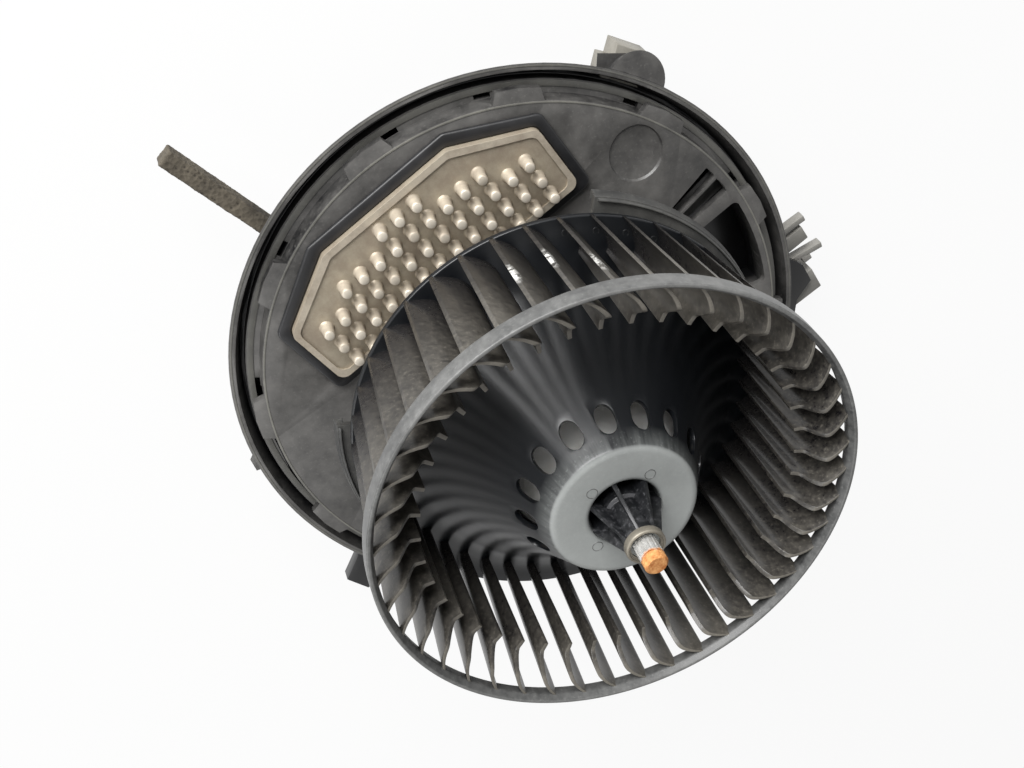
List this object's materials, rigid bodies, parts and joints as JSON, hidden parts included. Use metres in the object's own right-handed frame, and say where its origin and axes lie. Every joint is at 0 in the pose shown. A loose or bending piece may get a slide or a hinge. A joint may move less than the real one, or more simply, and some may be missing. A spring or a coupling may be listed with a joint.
{
  "type": "cabin blower motor",
  "caption": "Car cabin blower: squirrel-cage fan on a motor held in a round bayonet flange, with a pinned heatsink set into the flange beside the fan.",
  "frame": {"origin": "on the fan's axis, in the plane of the flange rim's seat face", "axes": "+Z along the fan's axis towards the air intake, the heatsink lies towards +Y and a little -X"},
  "size_m": [0.2118, 0.2121, 0.1445],
  "materials": {
    "black_plastic": "moulded polypropylene, satin, dusty",
    "carrier_plastic": "moulded polypropylene, satin",
    "wheel_plastic": "moulded polypropylene, satin, dusty",
    "clamp_ring": "pale worn ring",
    "shaft_steel": "ground, rusty at the tip",
    "can_steel": "zinc plated",
    "sink_aluminium": "die cast, stained",
    "gasket_rubber": "soft black",
    "mount_rubber": "matt black",
    "ferrite": "sintered ferrite",
    "lamination": "stacked sheet",
    "copper": "enamelled copper",
    "bearing_bronze": "sintered bronze",
    "card_plastic": "phenolic",
    "carbon": "carbon",
    "spring_steel": "drawn wire",
    "washer_plastic": "nylon",
    "board": "glass fibre board",
    "component_black": "moulded package",
    "capacitor_sleeve": "sleeved can",
    "ferrite_coil": "wound ferrite",
    "cover_plastic": "moulded, matt",
    "plug_plastic": "moulded, satin",
    "pin_metal": "tinned brass",
    "screw_steel": "zinc plated",
    "foam": "open-cell foam"
  },
  "bodies": {
    "housing": {"mounting_flange": "black_plastic", "motor_carrier": "carrier_plastic", "motor_can": "can_steel", "end_plate": "can_steel", "front_bearing": "bearing_bronze", "rear_bearing": "bearing_bronze", "field_magnets": "ferrite", "brush_card": "card_plastic", "carbon_brushes": "carbon", "brush_springs": "spring_steel", "rubber_mounts": "mount_rubber", "carrier_screws": "screw_steel", "heatsink": "sink_aluminium", "heatsink_gasket": "gasket_rubber", "circuit_board": "board", "power_transistors": "component_black", "capacitors": "capacitor_sleeve", "choke_coil": "ferrite_coil", "regulator_cover": "cover_plastic", "plug_housing": "plug_plastic", "plug_pins": "pin_metal", "regulator_screws": "screw_steel", "foam_strip": "foam"},
    "rotor": {"fan_wheel": "wheel_plastic", "hub_ring": "clamp_ring", "motor_shaft": "shaft_steel", "armature_core": "lamination", "windings": "copper", "commutator": "copper", "thrust_washers": "washer_plastic"}
  },
  "joints": [
    {"name": "fan_spin", "type": "hinge", "parent": "housing", "child": "rotor", "pos_m": [0, 0, 0.05], "axis": [0, 0, 1], "continuous": true}
  ]
}
